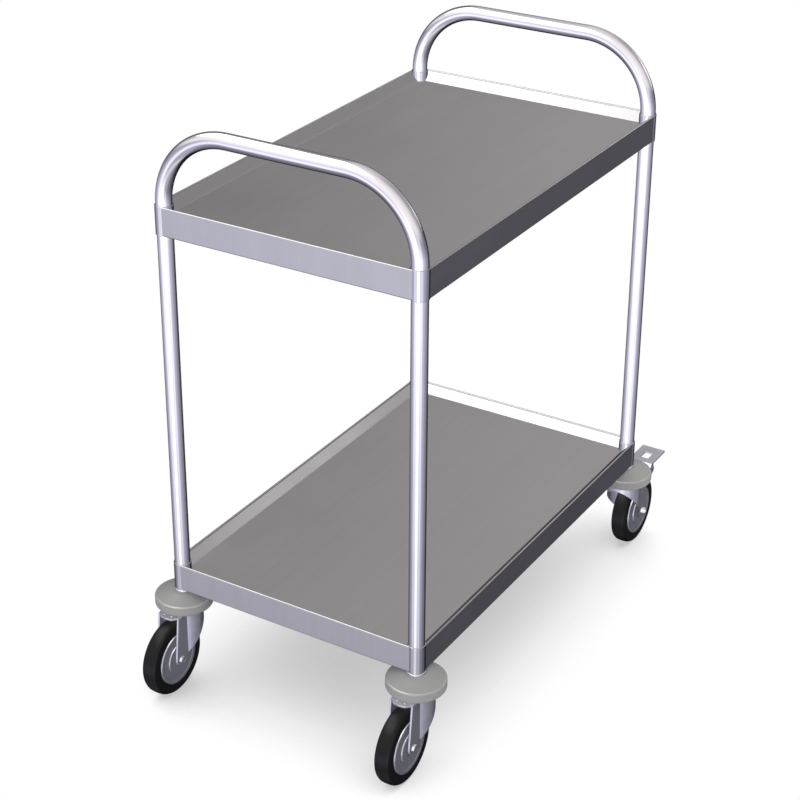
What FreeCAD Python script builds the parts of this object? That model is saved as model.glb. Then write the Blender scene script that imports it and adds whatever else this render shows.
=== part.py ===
import FreeCAD, Part
import Sketcher
import math
import os
import re

# Service cart: two trays on two bent tube ends, with four swivel casters.
# Millimetres, +Z up, the floor at Z 0. X runs across the cart and Y along it,
# the front end at -Y. The origin lies under the middle of the whole cart.

SIZES = [
    # end frames
    ("post_pitch_x", 429.0, "posts of one end frame, centre to centre"),
    ("post_pitch_y", 723.0, "front posts to rear posts, centre to centre"),
    ("tube_od", 25.0, "frame tube, outside"),
    ("tube_wall", 1.5, "frame tube, wall"),
    ("tray_pitch", 605.0, "lower rim to upper rim"),
    ("handle_bend", 115.0, "push handle, bend radius of the centre line"),
    ("handle_leg", 2.0, "straight tube between the upper collar and the bend"),
    # trays
    ("wall_offset", 13.25, "post centre line to the outer face of the tray wall"),
    ("skirt", 45.0, "height of the tray wall"),
    ("rim_width", 3.5, "rounded rim, outside width"),
    ("rim_drop", 2.4, "rim top to the bend above the slope"),
    ("rim_reach", 17.5, "outer face of the tray wall to the edge of the flat deck"),
    ("deck_drop", 16.1, "rim top to the deck"),
    ("sheet", 1.2, "tray sheet thickness"),
    ("hem", 12.0, "turned in lower edge of the tray wall"),
    ("rib_width", 60.0, "stiffening rib, outside width"),
    ("rib_height", 15.0, "stiffening rib, height"),
    ("rib_foot", 14.0, "stiffening rib, width of each welded foot"),
    ("rib_margin", 40.0, "end of the rib to the post centre line"),
    # corner collars
    ("collar_od", 28.0, "corner collar, outside"),
    ("collar_rise", 0.5, "collar above the rim"),
    ("collar_drop", 0.5, "collar below the tray wall"),
    ("collar_bevel", 0.8, "collar end bevel"),
    ("foot_gap", 1.3, "bare tube between the lower collar and the stem flange"),
    # bumpers and caster stems
    ("bumper_od", 93.0, "bumper disc, outside"),
    ("bumper_height", 26.0, "bumper disc, height at the middle"),
    ("bumper_edge", 16.5, "bumper disc, height at the edge"),
    ("bumper_round", 4.0, "bumper disc, edge radius"),
    ("bumper_crown_od", 38.0, "flat on the crown of the bumper"),
    ("recess_od", 58.0, "bearing recess under the bumper"),
    ("flange_od", 28.6, "stem flange"),
    ("flange_thick", 2.5, "stem flange"),
    ("plug_length", 60.0, "stem plug inside the tube"),
    ("spigot_od", 16.0, "stem through the bumper"),
    ("king_od", 10.0, "king pin"),
    ("king_end", 2.0, "king pin below its nut"),
    ("king_nut_flats", 17.0, "king nut across flats"),
    ("king_nut_height", 8.0, "king nut"),
    # swivel bearing
    ("swivel_gap", 2.7, "fork top to the bumper"),
    ("race_od", 55.0, "upper race"),
    ("race_plate", 2.0, "upper race thickness"),
    ("race_lip_od", 51.0, "pressed lip round the balls on the fork"),
    ("race_lip", 1.5, "pressed lip, thickness"),
    ("race_lip_height", 2.5, "pressed lip, height"),
    ("ball_od", 4.0, "swivel ball"),
    # fork
    ("trail", 40.0, "king pin axis to the axle"),
    ("fork_headroom", 15.5, "top of the tyre to the top of the fork"),
    ("fork_sheet", 3.0, "fork sheet thickness"),
    ("fork_skirt_od", 59.2, "round skirt of the fork"),
    ("fork_front", 11.5, "height of the skirt at the front"),
    ("fork_bend", 3.0, "outer radius along the top of the fork"),
    ("leg_tip", 11.5, "radius of the leg round the axle"),
    ("leg_back", 3.0, "axle to the back of the leg at the top"),
    ("lip_bulge", 8.0, "bow of the back lip beyond the legs"),
    ("lip_round", 12.0, "radius of the back lip"),
    ("dimple_od", 4.5, "dimple on the back lip"),
    ("dimple_height", 1.2, "dimple on the back lip"),
    ("dimple_pitch", 13.5, "dimples, centre to centre"),
    ("dimple_inset", 8.0, "dimples in front of the middle of the lip's edge"),
    # wheel
    ("wheel_od", 125.0, "tyre, outside"),
    ("tyre_width", 25.6, "tyre"),
    ("tyre_shoulder", 4.0, "tyre, shoulder radius"),
    ("tread_width", 16.5, "raised band of the tread"),
    ("tread_crown", 0.7, "fall of the tread from its middle to its edge"),
    ("tread_round", 20.0, "tread, crown radius"),
    ("tread_step", 0.9, "step beside the tread band"),
    ("centre_od", 86.4, "wheel centre"),
    ("centre_width", 28.0, "wheel centre across its rim"),
    ("centre_rim", 5.2, "wheel centre, radial thickness of its rim"),
    ("web_width", 27.0, "wheel centre, web"),
    ("boss_od", 50.0, "wheel centre, boss"),
    ("boss_width", 31.0, "wheel centre across the boss"),
    ("side_gap", 1.4, "boss to the fork leg"),
    ("sleeve_od", 12.0, "axle sleeve"),
    ("axle_od", 8.0, "axle bolt"),
    ("bolt_flats", 11.0, "axle bolt and nut across flats"),
    ("bolt_head", 4.2, "axle bolt head"),
    ("axle_nut_height", 7.0, "axle nut"),
    ("axle_end", 1.5, "axle bolt beyond its nut"),
    # brake
    ("pin_headroom", 6.0, "top of the tyre to the brake pin axis"),
    ("pin_back", 7.0, "brake pin axis to the back of the leg"),
    ("pin_od", 5.0, "brake pin"),
    ("pin_head_od", 8.5, "brake pin head"),
    ("pin_head", 1.5, "brake pin head"),
    ("lever_sheet", 1.6, "brake lever sheet thickness"),
    ("lever_gap", 0.3, "fork leg to the lever cheek"),
    ("lever_knuckle", 7.5, "radius of the cheek round its pin"),
    ("lever_clear", 2.5, "back lip of the fork to the lever"),
    ("foot_run", 7.0, "flat foot of the lever in front of its ramp"),
    ("ramp_run", 6.0, "sloping part of the lever"),
    ("pedal_rise", 5.5, "pedal top above the fork top"),
    ("pedal_length", 57.5, "pedal"),
    ("pedal_sheet", 3.0, "pedal thickness"),
    ("pedal_round", 1.2, "pedal corner radius"),
    ("slot_width", 15.0, "slot in the pedal"),
    ("slot_length", 22.0, "slot in the pedal"),
    ("slot_inset", 15.0, "slot from the front of the pedal"),
    ("cheek_reach", 12.0, "cheek beyond the front of the pedal"),
    ("cheek_depth", 8.5, "cheek below its pin"),
    ("cheek_round", 5.0, "cheek corner radius"),
    ("shoe_width", 20.0, "brake shoe"),
    ("shoe_length", 9.0, "brake shoe"),
    ("shoe_gap", 5.0, "brake shoe to the tyre, released"),
    # clearances
    ("fit", 0.05, "fixed fits and running fits, on the radius"),
    ("ball_gap", 0.3, "ball to the upper race"),
    ("nut_gap", 0.2, "king nut to the fork, pin head to the lever"),
]
BALLS = 14

doc = FreeCAD.newDocument("service_cart")
sheet = doc.addObject("Spreadsheet::Sheet", "Dims")
for row, (alias, size, note) in enumerate(SIZES, 1):
    sheet.set(f"A{row}", note)
    sheet.set(f"B{row}", str(size))
    sheet.setAlias(f"B{row}", alias)
doc.recompute()
ALIASES = {alias for alias, size, note in SIZES}

# levels and reaches that follow from the driving sizes
axle_z = "(wheel_od / 2)"
fork_top = "(wheel_od + fork_headroom)"
bumper_foot = f"({fork_top} + swivel_gap)"
race_roof = f"({fork_top} + ball_od + ball_gap + race_plate)"
recess_depth = f"({race_roof} - {bumper_foot})"
flange_foot = f"({bumper_foot} + bumper_height)"
tube_foot = f"({flange_foot} + flange_thick)"
lower_rim = f"({tube_foot} + foot_gap + collar_drop + skirt)"
upper_rim = f"({lower_rim} + tray_pitch)"
handle_z = f"({upper_rim} + collar_rise + handle_leg + handle_bend)"
king_nut_top = f"({fork_top} - fork_sheet - nut_gap)"
leg_inside = "(boss_width / 2 + side_gap)"
leg_outside = f"({leg_inside} + fork_sheet)"
leg_end = "(trail + leg_back)"
lip_end = f"({leg_end} + lip_bulge)"
pin_y = f"({leg_end} - pin_back)"
pin_z = "(wheel_od + pin_headroom)"
lever_start = f"({lip_end} + lever_clear)"
ramp_start = f"({lever_start} + foot_run)"
pedal_start = f"({ramp_start} + ramp_run)"
pedal_end = f"({pedal_start} + pedal_length)"
pedal_top = f"({fork_top} + pedal_rise)"
cheek_inside = f"({leg_outside} + lever_gap)"
cheek_outside = f"({cheek_inside} + lever_sheet)"
# the pedals reach further than the front wheels, and the origin stays in the middle
centre_shift = f"(({pedal_end} - trail - wheel_od / 2) / 2)"

CORNERS = {
    "front_left": (-1, -1),
    "front_right": (1, -1),
    "rear_left": (-1, 1),
    "rear_right": (1, 1),
}
nodes = {}


def sized(text):
    return re.sub(r"[a-z_]+", lambda word: f"Dims.{word[0]}" if word[0] in ALIASES else word[0], text)


def number(text):
    return float(sheet.evalExpression(sized(text)))


def post(corner):
    side, end = CORNERS[corner]
    return f"{side} * post_pitch_x / 2", f"{end} * post_pitch_y / 2 - {centre_shift}"


def place(piece, x="0", y="0", z="0", turn=0):
    piece.Placement = FreeCAD.Placement(FreeCAD.Vector(), FreeCAD.Rotation(FreeCAD.Vector(0, 0, 1), turn))
    for axis, text in zip("xyz", (x, y, z)):
        piece.setExpression(f"Placement.Base.{axis}", sized(text))


def keep(piece, label):
    piece.Label = label
    nodes[label] = piece
    return piece


def new_body(label):
    return keep(doc.addObject("PartDesign::Body", label), label)


def plane(body, role):
    return next(item for item in body.Origin.OriginFeatures if item.Role == role)


def new_sketch(body, role, lift=None):
    sketch = body.newObject("Sketcher::SketchObject", "Sketch")
    sketch.AttachmentSupport = [(plane(body, role), "")]
    sketch.MapMode = "FlatFace"
    if lift:
        sketch.setExpression("AttachmentOffset.Base.z", sized(lift))
    return sketch


def drive(sketch, kind, *where):
    *elements, text = where
    index = sketch.addConstraint(Sketcher.Constraint(kind, *elements, number(text)))
    sketch.setExpression(f"Constraints[{index}]", sized(text))


def drive_point(sketch, element, spot, x, y):
    drive(sketch, "DistanceX", -1, 1, element, spot, x)
    drive(sketch, "DistanceY", -1, 1, element, spot, y)


def add_circle(sketch, x, y, radius):
    centre = FreeCAD.Vector(number(x), number(y), 0)
    element = sketch.addGeometry(Part.Circle(centre, FreeCAD.Vector(0, 0, 1), number(radius)))
    drive_point(sketch, element, 3, x, y)
    drive(sketch, "Radius", element, radius)


def leaving_points(first, second):
    # the straight run between two pegs of an outline, tangent to the round ones
    gap = second["at"] - first["at"]
    length = gap.Length
    along = gap * (1 / length)
    across = FreeCAD.Vector(-along.y, along.x, 0)
    lean = (first["turn"] - second["turn"]) / length
    normal = along * lean - across * math.sqrt(1 - lean * lean)
    return first["at"] + normal * first["turn"], second["at"] + normal * second["turn"]


def add_outline(sketch, pegs, closed=True):
    # A peg is a corner (x, y) or a round (x, y, radius, way): the outline runs round it
    # counter-clockwise where way is 1, and clockwise where it is -1.
    spots = []
    for peg in pegs:
        turn = number(peg[2]) * peg[3] if len(peg) == 4 else 0.0
        spots.append({"peg": peg, "at": FreeCAD.Vector(number(peg[0]), number(peg[1]), 0), "turn": turn})
    count = len(spots)
    runs = []
    for index in range(count if closed else count - 1):
        start, end = leaving_points(spots[index], spots[(index + 1) % count])
        runs.append((sketch.addGeometry(Part.LineSegment(start, end)), start, end))
    for index, spot in enumerate(spots):
        before = runs[index - 1] if closed or index > 0 else None
        after = runs[index] if closed or index < count - 1 else None
        x, y = spot["peg"][:2]
        if not spot["turn"]:
            line, end = (after[0], 1) if after else (before[0], 2)
            drive_point(sketch, line, end, x, y)
            if before and after:
                sketch.addConstraint(Sketcher.Constraint("Coincident", before[0], 2, after[0], 1))
            continue
        angles = [math.atan2(p.y - spot["at"].y, p.x - spot["at"].x) for p in (before[2], after[1])]
        start, end = angles if spot["turn"] > 0 else angles[::-1]
        circle = Part.Circle(spot["at"], FreeCAD.Vector(0, 0, 1), abs(spot["turn"]))
        arc = sketch.addGeometry(Part.ArcOfCircle(circle, start, end))
        arc_in, arc_out = (1, 2) if spot["turn"] > 0 else (2, 1)
        drive_point(sketch, arc, 3, x, y)
        drive(sketch, "Radius", arc, spot["peg"][2])
        sketch.addConstraint(Sketcher.Constraint("Tangent", before[0], 2, arc, arc_in))
        sketch.addConstraint(Sketcher.Constraint("Tangent", arc, arc_out, after[0], 1))


def add_box(sketch, x0, y0, x1, y1):
    add_outline(sketch, [(x0, y0), (x1, y0), (x1, y1), (x0, y1)])


def extrude(body, kind, sketch, length, both_ways=False, backwards=False):
    feature = body.newObject(f"PartDesign::{kind}", kind)
    feature.Profile = sketch
    feature.Type = "Length"
    feature.SideType = "Symmetric" if both_ways else "One side"
    feature.Reversed = backwards
    feature.setExpression("Length", sized(length))
    return feature


def mirror(body, feature, role):
    mirrored = body.newObject("PartDesign::Mirrored", "Mirrored")
    mirrored.Originals = [feature]
    mirrored.MirrorPlane = (plane(body, role), [""])
    body.Tip = mirrored
    return mirrored


def turned(label, pegs, axis="V_Axis"):
    # a body of revolution: radius across and height up, or for H_Axis width across and radius up
    body = new_body(label)
    sketch = new_sketch(body, "XZ_Plane")
    add_outline(sketch, pegs)
    revolution = body.newObject("PartDesign::Revolution", "Revolution")
    revolution.Profile = sketch
    revolution.ReferenceAxis = (sketch, [axis])
    return body


def cylinder(radius, length):
    piece = doc.addObject("Part::Cylinder", "Cylinder")
    piece.setExpression("Radius", sized(radius))
    piece.setExpression("Height", sized(length))
    return piece


def hexagon(flats, height):
    piece = doc.addObject("Part::Prism", "Hexagon")
    piece.Polygon = 6
    piece.setExpression("Circumradius", sized(f"{flats} / sqrt(3)"))
    piece.setExpression("Height", sized(height))
    return piece


def along_x(piece, x):
    # stands a piece that was made along Z on the X axis, its foot at x
    piece.Placement = FreeCAD.Placement(FreeCAD.Vector(), FreeCAD.Rotation(FreeCAD.Vector(0, 1, 0), 90))
    piece.setExpression("Placement.Base.x", sized(x))


def combine(kind, label, base, tool):
    piece = doc.addObject(f"Part::{kind}", label)
    piece.Base = base
    piece.Tool = tool
    return piece


def group(label, pieces):
    compound = doc.addObject("Part::Compound", label)
    compound.Links = pieces
    return keep(compound, label)


def make_end_frame(label, end):
    body = new_body(label)
    left = "-post_pitch_x / 2"
    right = "post_pitch_x / 2"
    path = new_sketch(body, "XZ_Plane")
    bend_z = f"{handle_z} - handle_bend"
    add_outline(path, [
        (left, tube_foot),
        (f"{left} + handle_bend", bend_z, "handle_bend", -1),
        (f"{right} - handle_bend", bend_z, "handle_bend", -1),
        (right, tube_foot),
    ], closed=False)
    section = new_sketch(body, "XY_Plane", tube_foot)
    add_circle(section, left, "0", "tube_od / 2")
    add_circle(section, left, "0", "tube_od / 2 - tube_wall")
    doc.recompute()
    tube = body.newObject("PartDesign::AdditivePipe", "Tube")
    tube.Profile = section
    tube.Spine = (path, [f"Edge{index + 1}" for index in range(len(path.Shape.Edges))])
    place(body, y=f"{end} * post_pitch_y / 2 - {centre_shift}")


def add_wall_section(sketch, wall):
    # the tray sheet from the deck's edge up a slope, over the rim and down the wall to its hem
    slope = "((deck_drop - rim_drop) / (rim_reach - rim_width))"
    stretch = f"sqrt(1 + {slope} ^ 2)"
    rim_inside = f"{wall} - rim_width"
    rim_middle = f"{wall} - rim_width / 2"
    foot = f"{wall} - rim_reach"
    overlap = f"{foot} - 2 * sheet"
    deck_foot = "-deck_drop - sheet"
    bend_below = f"-deck_drop + (rim_reach - rim_width + sheet) * {slope} - sheet * {stretch}"
    add_outline(sketch, [
        (overlap, "-deck_drop"),
        (foot, "-deck_drop"),
        (rim_inside, "-rim_drop"),
        (rim_middle, "-rim_width / 2", "rim_width / 2", -1),
        (wall, "-skirt"),
        (f"{wall} - hem", "-skirt"),
        (f"{wall} - hem", "-skirt + sheet"),
        (f"{wall} - sheet", "-skirt + sheet"),
        (rim_middle, "-rim_width / 2", "rim_width / 2 - sheet", 1),
        (f"{rim_inside} + sheet", bend_below),
        (f"{foot} + sheet * ({stretch} - 1) / {slope}", deck_foot),
        (overlap, deck_foot),
    ])


def make_tray(label, rim):
    body = new_body(label)
    half_x = "post_pitch_x / 2"
    half_y = "post_pitch_y / 2"
    wall_x = f"({half_x} + wall_offset)"
    wall_y = f"({half_y} + wall_offset)"
    deck = new_sketch(body, "XY_Plane", "-deck_drop - sheet")
    deck_x = f"({wall_x} - rim_reach)"
    deck_y = f"({wall_y} - rim_reach)"
    add_box(deck, f"-{deck_x}", f"-{deck_y}", deck_x, deck_y)
    extrude(body, "Pad", deck, "sheet")
    for role, wall, length, across in (
        ("XZ_Plane", wall_x, "post_pitch_y", "YZ_Plane"),
        ("YZ_Plane", wall_y, "post_pitch_x", "XZ_Plane"),
    ):
        section = new_sketch(body, role)
        add_wall_section(section, wall)
        mirror(body, extrude(body, "Pad", section, length, both_ways=True), across)
    notches = new_sketch(body, "XY_Plane")
    for side, end in CORNERS.values():
        add_circle(notches, f"{side} * {half_x}", f"{end} * {half_y}", "collar_od / 2 + fit")
    body.Tip = extrude(body, "Pocket", notches, "4 * skirt", both_ways=True)
    place(body, y=f"-{centre_shift}", z=rim)


def make_rib(label, rim):
    # a hat section welded under the deck, along the tray
    body = new_body(label)
    half = "rib_width / 2"
    foot = f"{half} + rib_foot"
    section = new_sketch(body, "XZ_Plane")
    add_outline(section, [
        (f"-({foot})", "0"),
        (f"-({foot})", "-sheet"),
        (f"-{half}", "-sheet"),
        (f"-{half}", "-rib_height"),
        (half, "-rib_height"),
        (half, "-sheet"),
        (foot, "-sheet"),
        (foot, "0"),
        (f"{half} - sheet", "0"),
        (f"{half} - sheet", "sheet - rib_height"),
        (f"sheet - {half}", "sheet - rib_height"),
        (f"sheet - {half}", "0"),
    ])
    extrude(body, "Pad", section, "post_pitch_y - 2 * rib_margin", both_ways=True)
    place(body, y=f"-{centre_shift}", z=f"{rim} - deck_drop - sheet")


def make_collar(label, corner, rim):
    bore = "tube_od / 2 + fit"
    outside = "collar_od / 2"
    foot = "-skirt - collar_drop"
    collar = turned(label, [
        (bore, foot),
        (f"{outside} - collar_bevel", foot),
        (outside, f"{foot} + collar_bevel"),
        (outside, "collar_rise - collar_bevel"),
        (f"{outside} - collar_bevel", "collar_rise"),
        (bore, "collar_rise"),
    ])
    place(collar, *post(corner), rim)


def make_bumper(label, corner):
    bore = "spigot_od / 2 + fit"
    rounding = "bumper_od / 2 - bumper_round"
    bumper = turned(label, [
        (bore, recess_depth),
        ("recess_od / 2", recess_depth),
        ("recess_od / 2", "0"),
        (rounding, "bumper_round", "bumper_round", 1),
        (rounding, "bumper_edge - bumper_round", "bumper_round", 1),
        ("bumper_crown_od / 2", "bumper_height"),
        (bore, "bumper_height"),
    ])
    place(bumper, *post(corner), bumper_foot)


def make_stem(label, corner):
    # plug in the tube, flange under the tube, spigot through the bumper, king pin
    plug = "tube_od / 2 - tube_wall - fit"
    king_foot = f"{king_nut_top} - king_nut_height - king_end"
    bevel = "tube_wall"
    stem = turned(label, [
        ("0", king_foot),
        ("king_od / 2", king_foot),
        ("king_od / 2", race_roof),
        ("spigot_od / 2", race_roof),
        ("spigot_od / 2", flange_foot),
        ("flange_od / 2", flange_foot),
        ("flange_od / 2", tube_foot),
        (plug, tube_foot),
        (plug, f"{tube_foot} + plug_length - {bevel}"),
        (f"{plug} - {bevel}", f"{tube_foot} + plug_length"),
        ("0", f"{tube_foot} + plug_length"),
    ])
    place(stem, *post(corner))


def make_upper_races(label):
    races = []
    for corner in CORNERS:
        race = combine("Cut", "UpperRace", cylinder("race_od / 2", "race_plate"),
                       cylinder("king_od / 2 + fit", "race_plate"))
        place(race, *post(corner), f"{race_roof} - race_plate")
        races.append(race)
    group(label, races)


def make_king_nuts(label):
    nuts = []
    for corner in CORNERS:
        nut = combine("Cut", "KingNut", hexagon("king_nut_flats", "king_nut_height"),
                      cylinder("king_od / 2 + fit", "king_nut_height"))
        place(nut, *post(corner), f"{king_nut_top} - king_nut_height")
        nuts.append(nut)
    group(label, nuts)


def make_balls(label, corner):
    ring = "(race_lip_od / 2 - race_lip - ball_od / 2 - fit)"
    balls = []
    for index in range(BALLS):
        angle = 360 / BALLS * index
        ball = doc.addObject("Part::Sphere", "Ball")
        ball.setExpression("Radius", sized("ball_od / 2"))
        place(ball, f"{ring} * cos({angle} deg)", f"{ring} * sin({angle} deg)")
        balls.append(ball)
    place(group(label, balls), *post(corner), f"{fork_top} + ball_od / 2")


def heading(corner):
    # the front casters trail to the front and the rear ones to the rear
    return 0 if CORNERS[corner][1] > 0 else 180


def on_axle(piece, corner):
    x, y = post(corner)
    place(piece, x, f"{y} + {CORNERS[corner][1]} * trail", axle_z, heading(corner))


def add_fork_plan(sketch, half, radius, far):
    # a round skirt open at the back, its ends running into two flat legs
    origin = FreeCAD.Vector()
    reach = number(half)
    meet = math.sqrt(number(radius) ** 2 - reach ** 2)
    back = number(far)
    start = math.atan2(meet, -reach)
    end = math.atan2(meet, reach) + 2 * math.pi
    circle = Part.Circle(origin, FreeCAD.Vector(0, 0, 1), number(radius))
    arc = sketch.addGeometry(Part.ArcOfCircle(circle, start, end))
    corners = ((reach, meet), (reach, back), (-reach, back), (-reach, meet))
    spots = [FreeCAD.Vector(x, y, 0) for x, y in corners]
    lines = [sketch.addGeometry(Part.LineSegment(*ends)) for ends in zip(spots, spots[1:])]
    sketch.addConstraint(Sketcher.Constraint("Coincident", arc, 3, -1, 1))
    drive(sketch, "Radius", arc, radius)
    loop = [arc, *lines, arc]
    for before, after in zip(loop, loop[1:]):
        sketch.addConstraint(Sketcher.Constraint("Coincident", before, 2, after, 1))
    drive(sketch, "DistanceX", -1, 1, lines[0], 1, half)
    drive_point(sketch, lines[0], 2, half, far)
    drive_point(sketch, lines[1], 2, f"-{half}", far)
    drive(sketch, "DistanceX", -1, 1, lines[2], 2, f"-{half}")


def top_bend_edges(shape, top, back):
    # the outer edges of the fork's top, apart from the one across its back
    names = []
    for index, edge in enumerate(shape.Edges, 1):
        box = edge.BoundBox
        level = abs(box.ZMin - top) < 1e-4 and abs(box.ZMax - top) < 1e-4
        if level and box.YMin < back - 1e-4:
            names.append(f"Edge{index}")
    return names


def drill(body, role, x, y, radius):
    sketch = new_sketch(body, role)
    add_circle(sketch, x, y, radius)
    return extrude(body, "Pocket", sketch, "4 * wheel_od", both_ways=True)


def make_fork(label, corner, braked):
    body = new_body(label)
    skirt = "(fork_skirt_od / 2)"
    beyond = "(2 * wheel_od)"

    # side view: skirt at the front, a leg round the axle, the back of the leg
    side = new_sketch(body, "YZ_Plane")
    add_outline(side, [
        (f"-{skirt}", fork_top),
        (f"-{skirt}", f"{fork_top} - fork_front"),
        ("trail", axle_z, "leg_tip", 1),
        (leg_end, fork_top),
    ])
    extrude(body, "Pad", side, "fork_skirt_od", both_ways=True)

    # plan: cut away outside the sheet, then hollow up to the top plate
    outside = new_sketch(body, "XY_Plane")
    add_fork_plan(outside, leg_outside, skirt, beyond)
    add_box(outside, f"-{beyond}", f"-{beyond}", beyond, f"2 * {beyond}")
    extrude(body, "Pocket", outside, beyond, backwards=True)
    inside = new_sketch(body, "XY_Plane")
    add_fork_plan(inside, leg_inside, f"({skirt} - fork_sheet)", beyond)
    hollow = extrude(body, "Pocket", inside, f"{fork_top} - fork_sheet", backwards=True)

    doc.recompute()
    bend = body.newObject("PartDesign::Fillet", "TopBend")
    bend.Base = (hollow, top_bend_edges(hollow.Shape, number(fork_top), number(leg_end)))
    bend.setExpression("Radius", sized("fork_bend"))

    # bowed lip across the back, a pressed lip round the balls, two dimples
    lip = new_sketch(body, "XY_Plane", f"{fork_top} - fork_sheet")
    lip_half = f"({leg_outside} - fork_bend)"
    add_outline(lip, [
        (f"-{lip_half}", f"{leg_end} - fork_sheet"),
        (lip_half, f"{leg_end} - fork_sheet"),
        (lip_half, leg_end),
        ("0", f"{lip_end} - lip_round", "lip_round", 1),
        (f"-{lip_half}", leg_end),
    ])
    extrude(body, "Pad", lip, "fork_sheet")
    raceway = new_sketch(body, "XY_Plane", fork_top)
    add_circle(raceway, "0", "0", "race_lip_od / 2")
    add_circle(raceway, "0", "0", "race_lip_od / 2 - race_lip")
    extrude(body, "Pad", raceway, "race_lip_height")
    dimples = new_sketch(body, "XY_Plane", fork_top)
    for side_x in (-1, 1):
        add_circle(dimples, f"{side_x} * dimple_pitch / 2", f"{lip_end} - dimple_inset", "dimple_od / 2")
    extrude(body, "Pad", dimples, "dimple_height")

    drill(body, "XY_Plane", "0", "0", "king_od / 2 + fit")
    body.Tip = drill(body, "YZ_Plane", "trail", axle_z, "axle_od / 2 + fit")
    if braked:
        body.Tip = drill(body, "YZ_Plane", pin_y, pin_z, "pin_od / 2 + fit")
    place(body, *post(corner), "0", heading(corner))


def make_wheel_centre(label, corner):
    bore = "sleeve_od / 2 + fit"
    boss = "boss_width / 2"
    web = "web_width / 2"
    rim = "centre_width / 2"
    rim_inside = "centre_od / 2 - centre_rim"
    half = [
        (boss, bore),
        (boss, "boss_od / 2"),
        (web, "boss_od / 2"),
        (web, rim_inside),
        (rim, rim_inside),
        (rim, "centre_od / 2"),
    ]
    other = [(f"-{x}", radius) for x, radius in reversed(half)]
    on_axle(turned(label, half + other, "H_Axis"), corner)


def make_tyre(label, corner):
    side = "tyre_width / 2"
    seat = "centre_od / 2 + fit"
    tread = "tread_width / 2"
    tread_edge = "wheel_od / 2 - tread_crown"
    shoulder_top = f"{tread_edge} - tread_step"
    half = [
        (side, seat),
        (f"{side} - tyre_shoulder", f"{shoulder_top} - tyre_shoulder", "tyre_shoulder", 1),
        (f"{tread} + tread_step / 2", shoulder_top),
        (tread, tread_edge),
    ]
    crown = [("0", "wheel_od / 2 - tread_round", "tread_round", 1)]
    other = [(f"-({x})", *rest) for x, *rest in reversed(half)]
    on_axle(turned(label, half + crown + other, "H_Axis"), corner)


def make_axle(corner):
    sleeve_bore = "axle_od / 2 + fit"
    sleeve = turned(f"axle_sleeve_{corner}", [
        (f"-{leg_inside}", sleeve_bore),
        (leg_inside, sleeve_bore),
        (leg_inside, "sleeve_od / 2"),
        (f"-{leg_inside}", "sleeve_od / 2"),
    ], "H_Axis")
    on_axle(sleeve, corner)
    head = hexagon("bolt_flats", "bolt_head")
    along_x(head, f"-{leg_outside} - bolt_head")
    shank = cylinder("axle_od / 2", f"2 * {leg_outside} + axle_nut_height + axle_end")
    along_x(shank, f"-{leg_outside}")
    bolt = f"axle_bolt_{corner}"
    on_axle(keep(combine("Fuse", bolt, head, shank), bolt), corner)
    blank = hexagon("bolt_flats", "axle_nut_height")
    along_x(blank, leg_outside)
    thread = cylinder("axle_od / 2 + fit", "axle_nut_height")
    along_x(thread, leg_outside)
    nut = f"axle_nut_{corner}"
    on_axle(keep(combine("Cut", nut, blank, thread), nut), corner)


# top of the brake lever in front of its ramp
ramp_foot = f"({pin_z} + lever_knuckle)"


def make_brake_lever(label, corner):
    body = new_body(label)
    cheeks = new_sketch(body, "YZ_Plane")
    add_outline(cheeks, [
        (pin_y, pin_z, "lever_knuckle", 1),
        (pedal_start, f"{pin_z} - cheek_depth + cheek_round", "cheek_round", 1),
        (f"{pedal_start} + cheek_reach - cheek_round", pin_z, "cheek_round", 1),
        (f"{pedal_start} + cheek_reach / 2", pedal_top),
        (pedal_start, pedal_top),
        (ramp_start, ramp_foot),
    ])
    extrude(body, "Pad", cheeks, f"2 * {cheek_outside}", both_ways=True)

    # hollow between the cheeks and under the foot, the ramp and the pedal
    front = f"{pin_y} - 2 * lever_knuckle"
    back = f"{pedal_start} + 2 * cheek_reach"
    low = f"{pin_z} - 2 * cheek_depth"
    high = f"{pedal_top} + lever_knuckle"
    hollow = new_sketch(body, "YZ_Plane")
    add_outline(hollow, [
        (front, low),
        (back, low),
        (back, f"{pedal_top} - pedal_sheet"),
        (pedal_start, f"{pedal_top} - pedal_sheet"),
        (ramp_start, f"{ramp_foot} - pedal_sheet"),
        (lever_start, f"{ramp_foot} - pedal_sheet"),
        (lever_start, high),
        (front, high),
    ])
    extrude(body, "Pocket", hollow, f"2 * {cheek_inside}", both_ways=True)

    pedal = new_sketch(body, "XY_Plane", f"{pedal_top} - pedal_sheet")
    corner_x = f"{cheek_outside} - pedal_round"
    corner_y = f"{pedal_end} - pedal_round"
    add_outline(pedal, [
        (f"-{cheek_outside}", pedal_start),
        (cheek_outside, pedal_start),
        (corner_x, corner_y, "pedal_round", 1),
        (f"-({corner_x})", corner_y, "pedal_round", 1),
    ])
    slot_start = f"{pedal_start} + slot_inset"
    add_box(pedal, "-slot_width / 2", slot_start, "slot_width / 2", f"{slot_start} + slot_length")
    extrude(body, "Pad", pedal, "pedal_sheet")
    body.Tip = drill(body, "YZ_Plane", pin_y, pin_z, "pin_od / 2 + fit")
    place(body, *post(corner))


def make_brake_shoe(label, corner):
    # a block under the front of the lever, its foot along the tyre
    body = new_body(label)
    near = f"({lever_start} + lever_sheet)"
    far = f"({near} + shoe_length)"
    profile = []
    for y in (near, far):
        profile.append((y, f"{axle_z} + sqrt((wheel_od / 2 + shoe_gap) ^ 2 - ({y} - trail) ^ 2)"))
    for y in (far, near):
        profile.append((y, f"{ramp_foot} - pedal_sheet"))
    sketch = new_sketch(body, "YZ_Plane")
    add_outline(sketch, profile)
    extrude(body, "Pad", sketch, "shoe_width", both_ways=True)
    place(body, *post(corner))


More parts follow.
